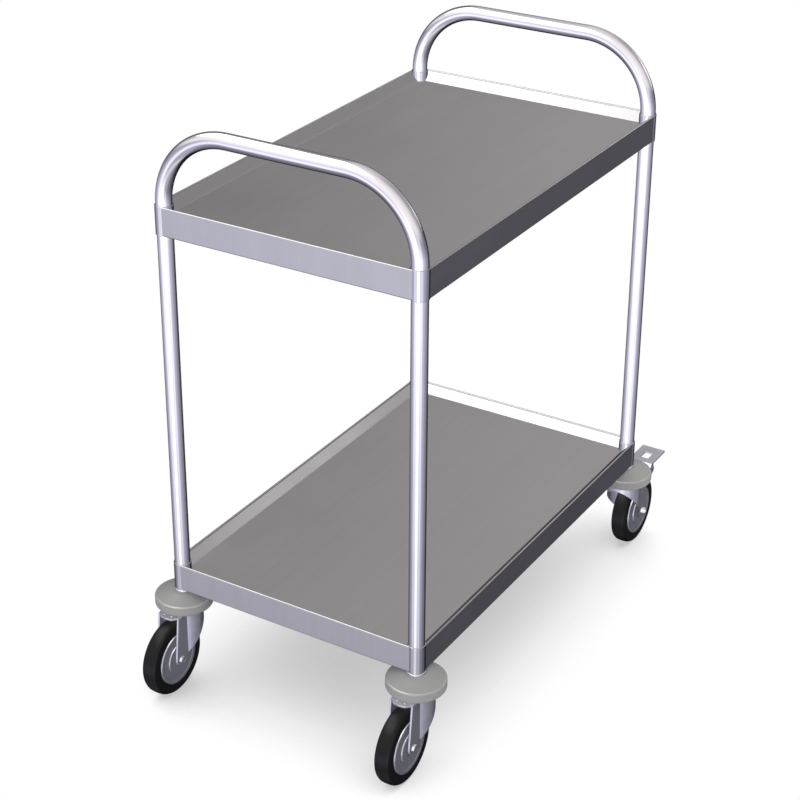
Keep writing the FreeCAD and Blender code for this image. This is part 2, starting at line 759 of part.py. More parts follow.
def make_brake_pin(label, corner):
    inside = f"({cheek_outside} + nut_gap)"
    outside = f"({inside} + pin_head)"
    pin = turned(label, [
        (f"-{outside}", "0"),
        (outside, "0"),
        (outside, "pin_head_od / 2"),
        (inside, "pin_head_od / 2"),
        (inside, "pin_od / 2"),
        (f"-{inside}", "pin_od / 2"),
        (f"-{inside}", "pin_head_od / 2"),
        (f"-{outside}", "pin_head_od / 2"),
    ], "H_Axis")
    x, y = post(corner)
    place(pin, x, f"{y} + {pin_y}", pin_z)


make_end_frame("front_end_frame", -1)
make_end_frame("rear_end_frame", 1)
for level, rim in (("lower", lower_rim), ("upper", upper_rim)):
    make_tray(f"{level}_tray", rim)
    make_rib(f"{level}_tray_rib", rim)
    for corner in CORNERS:
        make_collar(f"{level}_collar_{corner}", corner, rim)
make_upper_races("upper_races")
make_king_nuts("king_nuts")
for corner in CORNERS:
    make_bumper(f"bumper_{corner}", corner)
    make_stem(f"caster_stem_{corner}", corner)
    make_balls(f"swivel_balls_{corner}", corner)
    make_fork(f"fork_{corner}", corner, braked=corner.startswith("rear"))
    make_wheel_centre(f"wheel_centre_{corner}", corner)
    make_tyre(f"tyre_{corner}", corner)
    make_axle(corner)
for corner in ("rear_left", "rear_right"):
    make_brake_lever(f"brake_lever_{corner}", corner)
    make_brake_shoe(f"brake_shoe_{corner}", corner)
    make_brake_pin(f"brake_pin_{corner}", corner)
doc.recompute()

for item in doc.Objects:
    if "Invalid" in item.State or "Error" in item.State:
        raise RuntimeError(f"{item.Label} ({item.Name}) failed: {item.State}")
for label, piece in nodes.items():
    if piece.Shape.isNull() or not piece.Shape.isValid():
        raise RuntimeError(f"{label} has no valid shape")

os.makedirs("parts", exist_ok=True)
for label, piece in nodes.items():
    piece.Shape.exportStep(f"parts/{label}.step")
print(f"{len(nodes)} sub-parts written")
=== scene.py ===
import math
import bpy
import bmesh
from mathutils import Matrix, Vector


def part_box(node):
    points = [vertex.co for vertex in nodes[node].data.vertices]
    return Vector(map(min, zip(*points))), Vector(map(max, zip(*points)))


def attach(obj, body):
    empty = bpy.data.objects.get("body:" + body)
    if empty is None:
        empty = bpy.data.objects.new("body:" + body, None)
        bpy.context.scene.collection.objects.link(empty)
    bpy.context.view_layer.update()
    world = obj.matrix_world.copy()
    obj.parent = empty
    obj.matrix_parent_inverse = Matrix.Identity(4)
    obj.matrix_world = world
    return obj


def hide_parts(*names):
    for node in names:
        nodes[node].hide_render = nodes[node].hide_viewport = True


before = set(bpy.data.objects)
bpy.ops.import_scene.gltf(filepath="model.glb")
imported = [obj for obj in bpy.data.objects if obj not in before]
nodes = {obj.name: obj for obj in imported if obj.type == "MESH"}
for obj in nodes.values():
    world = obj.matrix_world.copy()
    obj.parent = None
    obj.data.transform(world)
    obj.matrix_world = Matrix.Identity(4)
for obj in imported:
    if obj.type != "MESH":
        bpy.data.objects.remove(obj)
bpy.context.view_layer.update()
scene = bpy.context.scene
cornerNames = ("front_left", "front_right", "rear_left", "rear_right")
mm = 0.001      # in metres
perMetre = 1000.0
print("frame loaded:", len(nodes), "nodes")


# camera: the photograph's station, from the fit of the tray edges
photoCamera = {
    "place": (1.4181, -2.4233, 1.877),
    "azimuth": 31.70,      # degrees round from -Y towards +X
    "elevation": 26.04,
    "lens": 87.57,
    "sensor": 36.0,
    "shift": (0.0249, -0.0745),
    "farClip": 100.0,
}


def setCamera(spec):
    data = bpy.data.cameras.new("photoCamera")
    data.lens = spec["lens"]
    data.sensor_width = spec["sensor"]
    data.shift_x, data.shift_y = spec["shift"]
    data.clip_end = spec["farClip"]
    camera = bpy.data.objects.new("photoCamera", data)
    camera.location = spec["place"]
    camera.rotation_euler = (math.radians(90 - spec["elevation"]), 0, math.radians(spec["azimuth"]))
    scene.collection.objects.link(camera)
    scene.camera = camera


setCamera(photoCamera)
print("camera set")


# node helpers; those that are given a socket add to the tree that it is in
mixColours = (6, 7)     # the Mix node's colour sockets, which share their names with others
mixResult = 2


def addNode(tree, kind, **settings):
    # each setting is one of the node's own properties or else an input
    node = tree.nodes.new("ShaderNode" + kind)
    for key, value in settings.items():
        if hasattr(node, key):
            setattr(node, key, value)
        else:
            node.inputs[key].default_value = value
    return node


def join(source, target):
    target.id_data.links.new(source, target)


def math2(operation, first, second):
    node = addNode(first.id_data, "Math", operation=operation)
    for socket, value in zip(node.inputs, (first, second)):
        if isinstance(value, (int, float)):
            socket.default_value = value
        else:
            join(value, socket)
    return node.outputs[0]


def vector2(operation, first, second=(0, 0, 0)):
    node = addNode(first.id_data, "VectorMath", operation=operation)
    join(first, node.inputs[0])
    node.inputs[1].default_value = second
    return node.outputs


def spread(source, low, high, fromLow=0.0, fromHigh=1.0):
    node = addNode(source.id_data, "MapRange")
    join(source, node.inputs["Value"])
    for key, value in (("From Min", fromLow), ("From Max", fromHigh), ("To Min", low), ("To Max", high)):
        node.inputs[key].default_value = value
    return node.outputs["Result"]


def blend(first, second, share):
    return math2("ADD", math2("MULTIPLY", first, share), math2("MULTIPLY", second, 1 - share))


def tint(mask, dark, light):
    # dark and light are colours or outputs of other nodes
    node = addNode(mask.id_data, "Mix", data_type="RGBA")
    join(mask, node.inputs["Factor"])
    for place, colour in zip(mixColours, (dark, light)):
        if isinstance(colour, tuple):
            node.inputs[place].default_value = (*colour, 1)
        else:
            join(colour, node.inputs[place])
    return node.outputs[mixResult]


def choose(factor, first, second):
    node = addNode(factor.id_data, "MixShader")
    for socket, source in zip(node.inputs, (factor, first.outputs[0], second.outputs[0])):
        join(source, socket)
    return node


def newGroup(name, inputs, outputs):
    tree = bpy.data.node_groups.new(name, "ShaderNodeTree")
    for label, value in inputs:
        socket = tree.interface.new_socket(label, in_out="INPUT", socket_type="NodeSocketFloat")
        socket.default_value = value
    for label in outputs:
        tree.interface.new_socket(label, in_out="OUTPUT", socket_type="NodeSocketFloat")
    return tree, tree.nodes.new("NodeGroupInput").outputs, tree.nodes.new("NodeGroupOutput").inputs


def useGroup(tree, group, **values):
    node = tree.nodes.new("ShaderNodeGroup")
    node.node_tree = group
    for key, value in values.items():
        node.inputs[key].default_value = value
    return node.outputs


# shared effects
brushedStrokes = {"across": 900.0, "along": 9.0, "endWall": 0.6, "broad": 0.06}


def makeBrushedGrain(spec):
    # polishing strokes along Y on the deck and the long walls, and upright on the end walls
    inputs = (("Across", spec["across"]), ("Along", spec["along"]))
    tree, given, out = newGroup("brushedGrain", inputs, ("Stroke", "Band"))
    coords = addNode(tree, "TexCoord")
    spot = addNode(tree, "SeparateXYZ")
    facing = addNode(tree, "SeparateXYZ")
    join(coords.outputs["Object"], spot.inputs[0])
    join(coords.outputs["Normal"], facing.inputs[0])
    upright = math2("GREATER_THAN", math2("ABSOLUTE", facing.outputs["Y"], 0.0), spec["endWall"])
    rise = addNode(tree, "Mix")
    join(upright, rise.inputs["Factor"])
    join(given["Across"], rise.inputs["A"])
    join(given["Along"], rise.inputs["B"])
    stretched = addNode(tree, "CombineXYZ")
    for axis, stretch in (("X", given["Across"]), ("Y", given["Along"]), ("Z", rise.outputs["Result"])):
        join(math2("MULTIPLY", spot.outputs[axis], stretch), stretched.inputs[axis])
    fine = addNode(tree, "TexNoise", Scale=1.0, Detail=3.0, Roughness=0.65)
    broad = addNode(tree, "TexNoise", Scale=spec["broad"], Detail=2.0, Roughness=0.5)
    for noise, label in ((fine, "Stroke"), (broad, "Band")):
        join(stretched.outputs[0], noise.inputs["Vector"])
        join(noise.outputs["Fac"], out[label])
    return tree


handlingClouds = {"size": 14.0, "span": (0.32, 0.68), "speck": 60.0}


def makeHandlingMarks(spec):
    # soft cloudy patches where hands and cloths have been, and a fine speckle
    tree, given, out = newGroup("handlingMarks", (("Size", spec["size"]),), ("Cloud", "Speck"))
    coords = addNode(tree, "TexCoord")
    cloud = addNode(tree, "TexNoise", Detail=4.0, Roughness=0.55)
    speck = addNode(tree, "TexNoise", Detail=2.0, Roughness=0.5)
    for noise, size in ((cloud, given["Size"]), (speck, math2("MULTIPLY", given["Size"], spec["speck"]))):
        join(coords.outputs["Object"], noise.inputs["Vector"])
        join(size, noise.inputs["Scale"])
    join(spread(cloud.outputs["Fac"], 0.0, 1.0, *spec["span"]), out["Cloud"])
    join(speck.outputs["Fac"], out["Speck"])
    return tree


convexEdgeMask = {"start": 0.52, "end": 0.62, "ragged": 260.0, "raggedLevels": (0.35, 1.0), "raggedSpan": (0.3, 0.6)}


def makeEdgeWearAndPaintedLight(spec):
    # convex edges broken up by a small noise: rubbed wear on most finishes, a painted highlight on the wheel centre's
    # rings and a painted shade on the lever's edges
    tree, given, out = newGroup("edgeWearAndPaintedLight", (("Start", spec["start"]), ("End", spec["end"])), ("Edge",))
    shape = addNode(tree, "NewGeometry")
    coords = addNode(tree, "TexCoord")
    ragged = addNode(tree, "TexNoise", Scale=spec["ragged"], Detail=3.0, Roughness=0.6)
    join(coords.outputs["Object"], ragged.inputs["Vector"])
    rubAndHighlight = addNode(tree, "MapRange")
    join(shape.outputs["Pointiness"], rubAndHighlight.inputs["Value"])
    join(given["Start"], rubAndHighlight.inputs["From Min"])
    join(given["End"], rubAndHighlight.inputs["From Max"])
    broken = spread(ragged.outputs["Fac"], *spec["raggedLevels"], *spec["raggedSpan"])
    join(math2("MULTIPLY", rubAndHighlight.outputs["Result"], broken), out["Edge"])
    return tree


dustFall = {"patch": 45.0, "patchSpan": (0.4, 0.75), "upSpan": (0.1, 0.95)}


def makeSettledDust(spec):
    # pale dust on upward faces, thicker in patches
    tree, given, out = newGroup("settledDust", (("Patch", spec["patch"]),), ("Dust",))
    coords = addNode(tree, "TexCoord")
    shape = addNode(tree, "NewGeometry")
    facing = addNode(tree, "SeparateXYZ")
    patch = addNode(tree, "TexNoise", Detail=5.0, Roughness=0.6)
    join(coords.outputs["Object"], patch.inputs["Vector"])
    join(given["Patch"], patch.inputs["Scale"])
    join(shape.outputs["Normal"], facing.inputs[0])
    up = spread(facing.outputs["Z"], 0.0, 1.0, *spec["upSpan"])
    thick = spread(patch.outputs["Fac"], 0.0, 1.0, *spec["patchSpan"])
    join(math2("MULTIPLY", up, thick), out["Dust"])
    return tree


brushedGrain = makeBrushedGrain(brushedStrokes)
handlingMarks = makeHandlingMarks(handlingClouds)
edgeWearAndPaintedLight = makeEdgeWearAndPaintedLight(convexEdgeMask)
settledDust = makeSettledDust(dustFall)


def newFinish(name):
    finish = bpy.data.materials.new(name)
    finish.use_nodes = True
    return finish, finish.node_tree, finish.node_tree.nodes["Principled BSDF"].inputs


def addBump(height, target, depth, strength):
    bump = addNode(height.id_data, "Bump", Distance=depth, Strength=strength)
    join(height, bump.inputs["Height"])
    join(bump.outputs[0], target)


# finishes
polishedTube = {
    "dark": (0.72, 0.71, 0.745), "light": (0.785, 0.775, 0.81), "edge": (0.60, 0.60, 0.64, 1),
    "cloud": 9.0, "gloss": (0.12, 0.18), "bump": (0.00002, 0.12),
}


def makePolishedTube(spec):
    finish, tree, shader = newFinish("polishedTube")
    marks = useGroup(tree, handlingMarks, Size=spec["cloud"])
    join(tint(marks["Cloud"], spec["dark"], spec["light"]), shader["Base Color"])
    join(spread(marks["Cloud"], *spec["gloss"]), shader["Roughness"])
    shader["Metallic"].default_value = 1.0
    shader["Specular Tint"].default_value = spec["edge"]
    addBump(marks["Speck"], shader["Normal"], *spec["bump"])
    return finish


satinSheet = {
    "dark": (0.445, 0.44, 0.445), "light": (0.485, 0.48, 0.485), "toneSpan": (0.3, 0.7), "cloud": 5.0,
    "grain": {"Across": 900.0, "Along": 9.0}, "gloss": (0.30, 0.38), "glossSpan": (0.2, 0.8), "bump": (0.00002, 0.18),
    "strokeShare": 0.55,    # of the fine strokes in the tone, against the broad bands
    "strokeGloss": 0.5,     # and in the gloss, against the handling marks
}


def makeSatinSheet(spec):
    finish, tree, shader = newFinish("satinSheet")
    grain = useGroup(tree, brushedGrain, **spec["grain"])
    marks = useGroup(tree, handlingMarks, Size=spec["cloud"])
    tone = blend(grain["Stroke"], grain["Band"], spec["strokeShare"])
    tone = spread(tone, 0.0, 1.0, *spec["toneSpan"])
    join(tint(tone, spec["dark"], spec["light"]), shader["Base Color"])
    rough = blend(grain["Stroke"], marks["Cloud"], spec["strokeGloss"])
    join(spread(rough, *spec["gloss"], *spec["glossSpan"]), shader["Roughness"])
    shader["Metallic"].default_value = 1.0
    addBump(grain["Stroke"], shader["Normal"], *spec["bump"])
    return finish


satinCollar = {
    "dark": (0.51, 0.51, 0.545), "light": (0.56, 0.56, 0.595), "edge": (0.25, 0.25, 0.28, 1), "cloud": 18.0,
    "grain": {"Across": 700.0, "Along": 20.0}, "gloss": (0.10, 0.16), "glossSpan": (0.3, 0.7), "bump": (0.00002, 0.15),
}


def makeSatinCollar(spec):
    finish, tree, shader = newFinish("satinCollar")
    grain = useGroup(tree, brushedGrain, **spec["grain"])
    marks = useGroup(tree, handlingMarks, Size=spec["cloud"])
    join(tint(marks["Cloud"], spec["dark"], spec["light"]), shader["Base Color"])
    join(spread(grain["Stroke"], *spec["gloss"], *spec["glossSpan"]), shader["Roughness"])
    shader["Metallic"].default_value = 1.0
    shader["Specular Tint"].default_value = spec["edge"]
    addBump(grain["Stroke"], shader["Normal"], *spec["bump"])
    return finish


plating = {"cloud": 55.0, "wearAndPaintedLight": {"Start": 0.52, "End": 0.60}, "glossSpan": (0.3, 0.7), "bump": (0.00004, 0.2)}
zincFork = {
    **plating, "dark": (0.52, 0.52, 0.585), "light": (0.60, 0.60, 0.67), "bare": (0.66, 0.66, 0.72),
    "gloss": (0.24, 0.34), "metal": 0.8,
}
# the lever's edges are darker than its plating: painted shade on its narrow side faces and slot walls
zincLever = {**zincFork, "bare": (0.50, 0.50, 0.56)}
zincBright = {
    **plating, "dark": (0.70, 0.70, 0.73), "light": (0.78, 0.78, 0.81), "bare": (0.84, 0.84, 0.86),
    "gloss": (0.16, 0.26), "metal": 0.95,
}
bearingSteel = {
    **plating, "dark": (0.58, 0.58, 0.61), "light": (0.68, 0.68, 0.71), "bare": (0.78, 0.78, 0.80),
    "gloss": (0.12, 0.22), "metal": 1.0,
}


def makeZinc(name, spec):
    # plated steel: cloudy plating, and its own tone along the edges: paler where rubbed bare, and on the lever darker,
    # a painted shade on its narrow side faces
    finish, tree, shader = newFinish(name)
    marks = useGroup(tree, handlingMarks, Size=spec["cloud"])
    wearAndPaintedLight = useGroup(tree, edgeWearAndPaintedLight, **spec["wearAndPaintedLight"])
    plated = tint(marks["Cloud"], spec["dark"], spec["light"])
    join(tint(wearAndPaintedLight["Edge"], plated, spec["bare"]), shader["Base Color"])
    join(spread(marks["Speck"], *spec["gloss"], *spec["glossSpan"]), shader["Roughness"])
    shader["Metallic"].default_value = spec["metal"]
    addBump(marks["Speck"], shader["Normal"], *spec["bump"])
    return finish


moulding = {"patch": 60.0, "wearAndPaintedLight": {"Start": 0.53, "End": 0.66}, "glossSpan": (0.3, 0.7), "flake": 0.0, "relief": 0.25}
greyBumper = {
    **moulding, "dark": (0.425, 0.425, 0.418), "light": (0.445, 0.445, 0.438), "pale": (0.54, 0.54, 0.53),
    "cloud": 22.0, "gloss": (0.34, 0.42), "shine": 0.3, "ior": 1.45, "dust": 0.06, "rubAndHighlight": 0.10, "pit": 0.00005,
}
knockedBumper = {**greyBumper, "gloss": (0.22, 0.28), "shine": 0.42, "ior": 2.6}
# its edges turn almost white: a painted highlight along the rings of the wheel centre
wheelPlastic = {
    **moulding, "dark": (0.47, 0.47, 0.525), "light": (0.51, 0.51, 0.565), "pale": (0.85, 0.85, 0.88), "cloud": 30.0,
    "gloss": (0.24, 0.34), "shine": 0.6, "ior": 1.5, "flake": 0.75, "dust": 0.04, "rubAndHighlight": 0.9, "pit": 0.00005,
}
blackRubber = {
    **moulding, "dark": (0.004, 0.004, 0.004), "light": (0.0065, 0.0065, 0.006), "pale": (0.03, 0.028, 0.026),
    "cloud": 26.0, "gloss": (0.26, 0.34), "shine": 0.20, "ior": 1.5, "dust": 0.06, "rubAndHighlight": 0.10, "pit": 0.00008,
}


def makeMoulded(name, spec):
    # moulded plastic or rubber: fine pitted skin, cloudy tone, dust on top, paler edges: rubbed wear, and on the wheel
    # centre a painted highlight along its rings
    finish, tree, shader = newFinish(name)
    marks = useGroup(tree, handlingMarks, Size=spec["cloud"])
    dust = useGroup(tree, settledDust, Patch=spec["patch"])
    wearAndPaintedLight = useGroup(tree, edgeWearAndPaintedLight, **spec["wearAndPaintedLight"])
    clean = tint(marks["Cloud"], spec["dark"], spec["light"])
    rubbedAndLit = math2("MULTIPLY", wearAndPaintedLight["Edge"], spec["rubAndHighlight"])
    dusty = math2("MULTIPLY", dust["Dust"], spec["dust"])
    paler = math2("MAXIMUM", rubbedAndLit, dusty)
    join(tint(paler, clean, spec["pale"]), shader["Base Color"])
    join(spread(marks["Speck"], *spec["gloss"], *spec["glossSpan"]), shader["Roughness"])
    shader["Specular IOR Level"].default_value = spec["shine"]
    shader["Metallic"].default_value = spec["flake"]
    shader["IOR"].default_value = spec["ior"]
    addBump(marks["Speck"], shader["Normal"], spec["pit"], spec["relief"])
    return finish


tubeFinish = makePolishedTube(polishedTube)
sheetFinish = makeSatinSheet(satinSheet)
collarFinish = makeSatinCollar(satinCollar)
forkFinish = makeZinc("zincFork", zincFork)
leverFinish = makeZinc("zincLever", zincLever)
boltFinish = makeZinc("zincBright", zincBright)
bearingFinish = makeZinc("bearingSteel", bearingSteel)
bumperFinish = makeMoulded("greyBumper", greyBumper)
knockedFinish = makeMoulded("knockedBumper", knockedBumper)
wheelFinish = makeMoulded("wheelPlastic", wheelPlastic)
rubberFinish = makeMoulded("blackRubber", blackRubber)
print("finishes made")


# shape helpers, all in millimetres
def nodeBox(node):
    low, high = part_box(node)
    return low * perMetre, high * perMetre


def nodeMiddle(node):
    low, high = nodeBox(node)
    return (low + high) * 0.5


def roundPath(spots, closed=True, steps=6):
    # spots (x, y) or (x, y, radius): gives points and left-hand normals along the rounded path
    count = len(spots)
    points = []
    normals = []
    for index, spot in enumerate(spots):
        here = Vector(spot[:2])
        back = (Vector(spots[index - 1][:2]) - here).normalized()
        on = (Vector(spots[(index + 1) % count][:2]) - here).normalized()
        if not closed and index in (0, count - 1):
            way = on if index == 0 else -back
        else:
            way = (on - back).normalized()
        if len(spot) < 3:
            points.append(here)
            normals.append(Vector((-way.y, way.x)))
            continue
        half = back.angle(on) / 2
        centre = here + (back + on).normalized() * (spot[2] / math.sin(half))
        first = here + back * (spot[2] / math.tan(half)) - centre
        bend = math.copysign(math.pi - 2 * half, back.y * on.x - back.x * on.y)
        for step in range(steps + 1):
            arm = first.copy()
            arm.rotate(Matrix.Rotation(bend * step / steps, 2))
            points.append(centre + arm)
            normals.append(arm.normalized() * math.copysign(1, -bend))
    return points, normals


def bridge(ring, onward):
    # faces between two closed rings of vertex numbers
    count = len(ring)
    return [(ring[i], ring[(i + 1) % count], onward[(i + 1) % count], onward[i]) for i in range(count)]


def ringStack(rings, loop=False):
    # rings of equal length joined in order; an open stack is capped at both ends
    count = len(rings[0])
    verts = [spot for ring in rings for spot in ring]
    rows = [range(level * count, (level + 1) * count) for level in range(len(rings))]
    faces = []
    for here, onward in zip(rows, rows[1:] + rows[:1] if loop else rows[1:]):
        faces += bridge(here, onward)
    if not loop:
        faces += [tuple(rows[0]), tuple(rows[-1])]
    return verts, faces


def circle(radius, steps):
    angles = [2 * math.pi * step / steps for step in range(steps)]
    return [(radius * math.cos(angle), radius * math.sin(angle)) for angle in angles]


def turned(profile, loop=True, steps=96, axis="Z"):
    # profile (radius, height) swung round the axis
    rings = []
    for radius, height in profile:
        rings.append([(a, b, height) if axis == "Z" else (height, a, b) for a, b in circle(radius, steps)])
    return ringStack(rings, loop)


def softenEdges(piece, width, limit):
    soft = piece.modifiers.new("softEdges", "BEVEL")
    soft.width = width * mm
    soft.segments = 2
    soft.limit_method = "ANGLE"
    soft.angle_limit = math.radians(limit)


def flattenFaces(piece, keepSharp):
    flat = piece.modifiers.new("flatFaces", "WEIGHTED_NORMAL")
    flat.keep_sharp = keepSharp


def addPiece(name, shape, finish, body, stands, slot, at=(0, 0, 0), heading=0.0, sharp=38, soften=None):
    verts, faces = shape
    mesh = bpy.data.meshes.new(name)
    mesh.from_pydata([[c * mm for c in spot] for spot in verts], [], faces)
    form = bmesh.new()
    form.from_mesh(mesh)
    bmesh.ops.remove_doubles(form, verts=form.verts, dist=1e-6)
    bmesh.ops.recalc_face_normals(form, faces=form.faces)
    for face in form.faces:
        face.smooth = True
    form.to_mesh(mesh)
    form.free()
    mesh.set_sharp_from_angle(angle=math.radians(sharp))
    mesh.materials.append(finish)
    piece = bpy.data.objects.new(name, mesh)
    piece.location = Vector(at) * mm
    piece.rotation_euler.z = math.radians(heading)
    scene.collection.objects.link(piece)
    piece.visible_glossy = False        # metal mirrors the room and not the other pieces
    if soften:
        softenEdges(piece, soften, sharp)
    flattenFaces(piece, not soften)
    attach(piece, body)
    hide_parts(*stands)
    return piece


# end frames: one bent tube each
endTube = {"outside": 12.5, "inside": 11.0, "bend": 115.0, "round": 64, "bendSteps": 32}


def makeEndFrame(end, spec):
    node = f"{end}_end_frame"
    low, high = nodeBox(node)
    left, right = low.x + spec["outside"], high.x - spec["outside"]
    top = high.z - spec["outside"]
    middleY = (low.y + high.y) / 2
    corners = [(left, low.z), (left, top, spec["bend"]), (right, top, spec["bend"]), (right, low.z)]
    path, normals = roundPath(corners, closed=False, steps=spec["bendSteps"])
    rings = []
    for radius in (spec["outside"], spec["inside"]):
        row = []
        for spot, side in zip(path, normals):
            ring = []
            for reach, y in circle(radius, spec["round"]):
                arm = side * reach
                ring.append((spot.x + arm.x, middleY + y, spot.y + arm.y))
            row.append(ring)
        rings += row if radius == spec["outside"] else row[::-1]
    addPiece(f"tube_{end}", ringStack(rings, loop=True), tubeFinish, "cart_frame", [node], "frame_tube")


for end in ("front", "rear"):
    makeEndFrame(end, endTube)
print("end frames bent")


# trays: one folded sheet each, notched round the corner collars
trayFold = {
    "sheet": 1.2,
    "notch": 14.06,       # radius of the cut round each collar
    "notchSteps": 12,
    "wallOffset": 13.25,  # post centre to the outer face of the wall
    "reach": 17.5,        # wall face in to the flat deck
    "lead": 6.0,          # deck that leads the path into its first bend
    "deckDrop": 16.1,
    "crease": 1.4,        # bend radius at the edge of the deck
    "rim": 3.5,           # width of the rounded rim
    "rimDrop": 2.4,
    "rimFoot": 1.2,       # bend radius from the slope into the rim
    "rimSlack": 0.001,    # keeps the rim's two bends apart
    "skirt": 45.0,
    "hem": 12.0,
    "hemBend": 2.0,
}


def traySection(spec):
    # both skins of the folded edge, from the deck over the rim and down to the hem
    wall, rim = spec["wallOffset"], spec["rim"]
    rimBend = rim / 2 - spec["rimSlack"]
    profile, normals = roundPath([
        (wall - spec["reach"] - spec["lead"], -spec["deckDrop"]),
        (wall - spec["reach"], -spec["deckDrop"], spec["crease"]),
        (wall - rim, -spec["rimDrop"], spec["rimFoot"]),
        (wall - rim, 0, rimBend),
        (wall, 0, rimBend),
        (wall, -spec["skirt"], spec["hemBend"]),
        (wall - spec["hem"], -spec["skirt"]),
    ], closed=False)
    profile, normals = profile[1:], normals[1:]     # starts where the first bend leaves the deck
    return {"top": profile, "under": [spot - side * spec["sheet"] for spot, side in zip(profile, normals)]}


def trayWalls(rims):
    # the four folded edges: both skins, then the cut ends, then the edge of the hem
    faces = []
    for axis in "xy":
        for side in (-1, 1):
            topLeft, topRight, underLeft, underRight = (
                rims[skin, axis, side, hand] for skin in ("top", "under") for hand in (-1, 1))
            for a, b in ((topLeft, topRight), (underLeft, underRight), (topLeft, underLeft), (topRight, underRight)):
                for i in range(len(a) - 1):
                    faces.append((a[i], a[i + 1], b[i + 1], b[i]))
            faces.append((topLeft[-1], underLeft[-1], underRight[-1], topRight[-1]))
    return faces


def makeTray(level, spec):
    node = f"{level}_tray"
    low, high = nodeBox(node)
    middle = (low + high) * 0.5
    postX = high.x - middle.x - spec["wallOffset"]
    postY = high.y - middle.y - spec["wallOffset"]
    verts = []

    def addVert(x, y, z):
        verts.append((middle.x + x, middle.y + y, high.z + z))
        return len(verts) - 1

    rims = {}
    for skin, rows in traySection(spec).items():
        for axis, side in (("x", -1), ("x", 1), ("y", -1), ("y", 1)):
            for hand in (-1, 1):
                line = []
                for spot in rows:
                    gap = math.sqrt(max(spec["notch"] ** 2 - spot.x * spot.x, 0.0))
                    across = side * ((postX if axis == "x" else postY) + spot.x)
                    along = hand * ((postY if axis == "x" else postX) - gap)
                    line.append(addVert(*((across, along) if axis == "x" else (along, across)), spot.y))
                rims[skin, axis, side, hand] = line
    faces = trayWalls(rims)
    # deck: both skins run round the four collar notches
    steps = spec["notchSteps"]
    loops = []
    for skin in ("top", "under"):
        loop = []
        for sideX, sideY, swap in ((1, 1, False), (-1, 1, True), (-1, -1, False), (1, -1, True)):
            onX = rims[skin, "x", sideX, sideY][0]
            onY = rims[skin, "y", sideY, sideX][0]
            z = verts[onX][2] - high.z
            start, end = (Vector((verts[i][0] - middle.x - sideX * postX, verts[i][1] - middle.y - sideY * postY))
                          for i in (onX, onY))
            turnAngle = start.angle_signed(end)
            arc = [onX]
            for step in range(1, steps):
                arm = start.copy()
                arm.rotate(Matrix.Rotation(-turnAngle * step / steps, 2))
                arc.append(addVert(sideX * postX + arm.x, sideY * postY + arm.y, z))
            arc.append(onY)
            loop += arc[::-1] if swap else arc
        loops.append(loop)
    faces += [tuple(loop) for loop in loops]
    for index, face in enumerate(bridge(*loops)):
        if index % (steps + 1) != steps:    # the last of each arc runs along a folded edge
            faces.append(face)
    addPiece(f"tray_{level}", (verts, faces), sheetFinish, "cart_frame", [node], "tray_sheet")


ribFold = {"sheet": 1.2, "width": 60.0, "foot": 14.0, "footBend": 2.2, "crestBend": 1.2, "bendSteps": 5}


def makeRib(level, spec):
    node = f"{level}_tray_rib"
    low, high = nodeBox(node)
    outer = spec["width"] / 2 + spec["foot"]
    web = spec["width"] / 2 - spec["sheet"]
    crest = spec["sheet"] - (high.z - low.z)
    profile, normals = roundPath([
        (-outer, 0), (-web, 0, spec["footBend"]), (-web, crest, spec["crestBend"]),
        (web, crest, spec["crestBend"]), (web, 0, spec["footBend"]), (outer, 0),
    ], closed=False, steps=spec["bendSteps"])
    under = [spot - side * spec["sheet"] for spot, side in zip(profile, normals)]
    section = profile + under[::-1]
    middleX = (low.x + high.x) / 2
    rings = [[(middleX + spot.x, y, high.z + spot.y) for spot in section] for y in (low.y, high.y)]
    addPiece(f"rib_{level}", ringStack(rings), sheetFinish, "cart_frame", [node], "tray_rib")


for level in ("upper", "lower"):
    makeTray(level, trayFold)
    makeRib(level, ribFold)
print("trays folded")


# corner collars, bumpers and caster stems
def standOn(node):
    # foot of the node's axis
    at = nodeMiddle(node)
    return at.x, at.y, nodeBox(node)[0].z


def heightOf(node):
    low, high = nodeBox(node)
    return high.z - low.z


collarTurn = {"bore": 12.55, "boreBreak": 0.15, "outside": 14.0, "break": 0.55}


def makeCollar(level, corner, spec):
    node = f"{level}_collar_{corner}"
    tall = heightOf(node)
    profile, _ = roundPath([
        (spec["bore"], 0, spec["boreBreak"]), (spec["outside"], 0, spec["break"]),
        (spec["outside"], tall, spec["break"]), (spec["bore"], tall, spec["boreBreak"]),
    ], steps=4)
    addPiece(f"collar_{level}_{corner}", turned(profile), collarFinish, "cart_frame", [node], "collar",
             at=standOn(node))


bumperTurn = {
    "bore": 8.1, "boreBreak": 0.3, "outside": 46.5, "edge": 16.5, "shoulder": 3.6, "foot": 4.0,
    "crown": 19.0, "crownRound": 24.0, "recess": 29.0, "recessDepth": 3.6, "recessRound": 0.8, "recessBreak": 0.6,
    "knocked": (0.45, 0.93),    # how far up the shoulder's faces look where knocks have polished them
}


